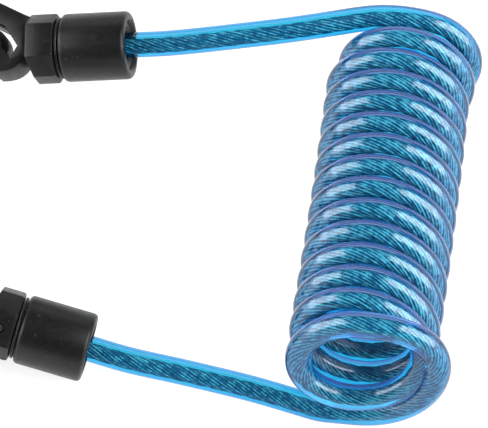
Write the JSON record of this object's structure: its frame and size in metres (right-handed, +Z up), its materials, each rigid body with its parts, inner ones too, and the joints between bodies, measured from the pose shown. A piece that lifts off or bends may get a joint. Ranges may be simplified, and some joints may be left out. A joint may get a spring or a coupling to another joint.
{
  "type": "coiled cable lock",
  "caption": "Coiled steel cable in a clear blue jacket, with a swivelling black snap hook on each straight lead.",
  "frame": {"origin": "middle of the two fittings in plan, on the table that the part lies on", "axes": "+Z up from the table; +Y from the lower fitting to the upper one, roughly along the coil; +X from the hooks towards the coil"},
  "size_m": [0.1674, 0.1143, 0.0402],
  "materials": {
    "black_plastic": "satin",
    "grey_plastic": "satin",
    "steel": "satin",
    "blue_jacket": "clear, glossy"
  },
  "bodies": {
    "coil_end": {"upper_sleeve": "black_plastic", "upper_mouth_bush": "black_plastic", "upper_ferrule": "steel", "upper_thrust_washer": "grey_plastic", "cable_upper_lead": "blue_jacket", "cable_coil": "blue_jacket"},
    "lower_end": {"lower_sleeve": "black_plastic", "lower_mouth_bush": "black_plastic", "lower_ferrule": "steel", "lower_thrust_washer": "grey_plastic", "cable_lower_lead": "blue_jacket"},
    "upper_hook": {"upper_hook_body": "black_plastic", "upper_swivel_pin": "steel", "upper_cross_pin": "steel", "upper_gate_pin": "steel", "upper_gate_spring": "steel"},
    "lower_hook": {"lower_hook_body": "black_plastic", "lower_swivel_pin": "steel", "lower_cross_pin": "steel", "lower_gate_pin": "steel", "lower_gate_spring": "steel"},
    "upper_gate_body": {"upper_gate": "black_plastic"},
    "lower_gate_body": {"lower_gate": "black_plastic"}
  },
  "joints": [
    {"name": "coil_stretch", "type": "slide", "parent": "coil_end", "child": "lower_end", "axis": [-0.14, -0.9901, 0], "range_m": [0, 0.6], "stiffness_N_per_m": 12, "deforming": ["cable_coil"]},
    {"name": "upper_swivel", "type": "hinge", "parent": "coil_end", "child": "upper_hook", "pos_m": [0.04225, 0.02884, 0.01988], "axis": [0.9781, -0.0731, 0.195], "continuous": true},
    {"name": "lower_swivel", "type": "hinge", "parent": "lower_end", "child": "lower_hook", "pos_m": [0.03365, -0.04456, 0.00769], "axis": [0.9592, -0.2483, -0.1352], "continuous": true},
    {"name": "upper_gate_hinge", "type": "hinge", "parent": "upper_hook", "child": "upper_gate_body", "pos_m": [0.00939, 0.03149, 0.01338], "axis": [0.2071, 0.2442, -0.9474], "range_deg": [0, 22], "stiffness_Nm_per_rad": 0.02, "springref_deg": -20.05},
    {"name": "lower_gate_hinge", "type": "hinge", "parent": "lower_hook", "child": "lower_gate_body", "pos_m": [0.00136, -0.03636, 0.01211], "axis": [-0.0535, -0.6289, 0.7756], "range_deg": [0, 22], "stiffness_Nm_per_rad": 0.02, "springref_deg": -20.05}
  ]
}
